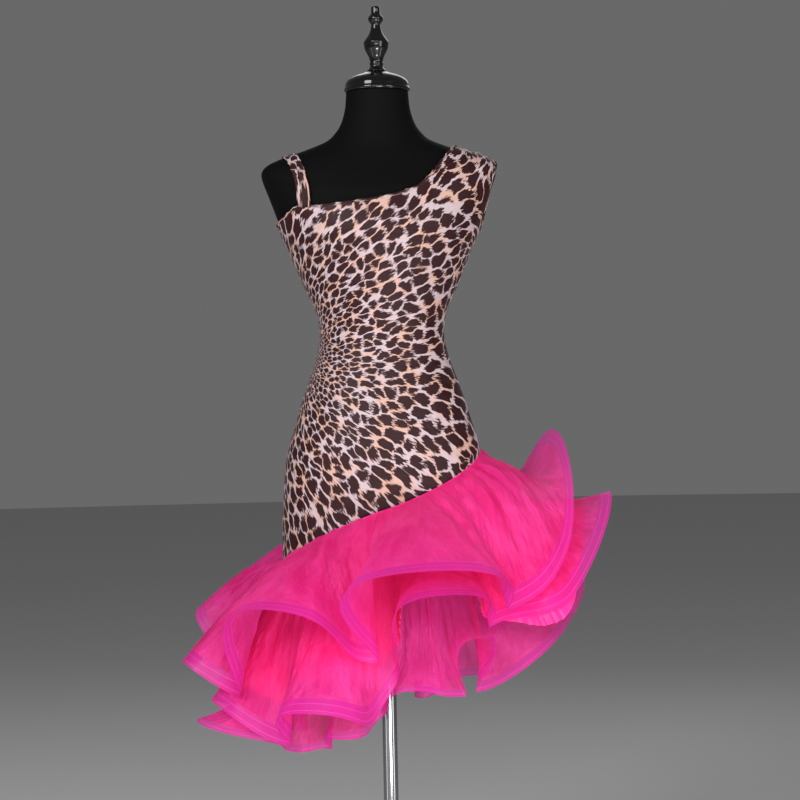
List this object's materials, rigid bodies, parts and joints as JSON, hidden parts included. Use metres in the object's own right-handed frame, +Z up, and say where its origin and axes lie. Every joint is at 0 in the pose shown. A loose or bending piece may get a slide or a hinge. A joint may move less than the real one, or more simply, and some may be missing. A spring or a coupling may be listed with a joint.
{
  "type": "rumba dance dress on a dress form and stand",
  "caption": "One-shoulder leopard print rumba dress with a slanted skirt of stiffened organza flounces, on a limbless dress form with finial, pole and round base.",
  "frame": {"origin": "centre of the stand base's underside, on the surface it stands on", "axes": "+Z up along the pole, the garment's front faces -Y, +X towards the high side of the seam"},
  "size_m": [0.7299, 0.7209, 1.5985],
  "materials": {
    "leopard_satin": "printed stretch satin, dark spots on a pinkish cream ground, soft sheen",
    "pink_organza": "sheer crisp organza, hot pink",
    "pink_satin": "pink satin with a soft gloss",
    "horsehair_braid": "translucent nylon braid with fine lines, magenta",
    "black_cover": "smooth matte black stretch cover",
    "black_gloss": "high gloss black lacquer",
    "chrome": "bright polished chrome"
  },
  "bodies": {
    "root": {"front_panel": "leopard_satin", "back_panel": "leopard_satin", "shoulder_strap": "leopard_satin", "skirt_base_front": "pink_satin", "skirt_base_back": "pink_satin", "upper_flounce_1": "pink_organza", "upper_braid_1": "horsehair_braid", "middle_flounce_1": "pink_organza", "middle_braid_1": "horsehair_braid", "lower_flounce_1": "pink_organza", "lower_braid_1": "horsehair_braid", "satin_flounce_1": "pink_satin", "upper_flounce_2": "pink_organza", "upper_braid_2": "horsehair_braid", "middle_flounce_2": "pink_organza", "middle_braid_2": "horsehair_braid", "lower_flounce_2": "pink_organza", "lower_braid_2": "horsehair_braid", "satin_flounce_2": "pink_satin", "upper_flounce_3": "pink_organza", "upper_braid_3": "horsehair_braid", "middle_flounce_3": "pink_organza", "middle_braid_3": "horsehair_braid", "lower_flounce_3": "pink_organza", "lower_braid_3": "horsehair_braid", "satin_flounce_3": "pink_satin", "upper_flounce_4": "pink_organza", "upper_braid_4": "horsehair_braid", "middle_flounce_4": "pink_organza", "middle_braid_4": "horsehair_braid", "lower_flounce_4": "pink_organza", "lower_braid_4": "horsehair_braid", "satin_flounce_4": "pink_satin", "form_torso": "black_cover", "neck_cap": "black_gloss", "neck_finial": "black_gloss", "stand_collar": "black_gloss", "stand_pole": "chrome", "stand_base": "chrome"}
  },
  "joints": []
}
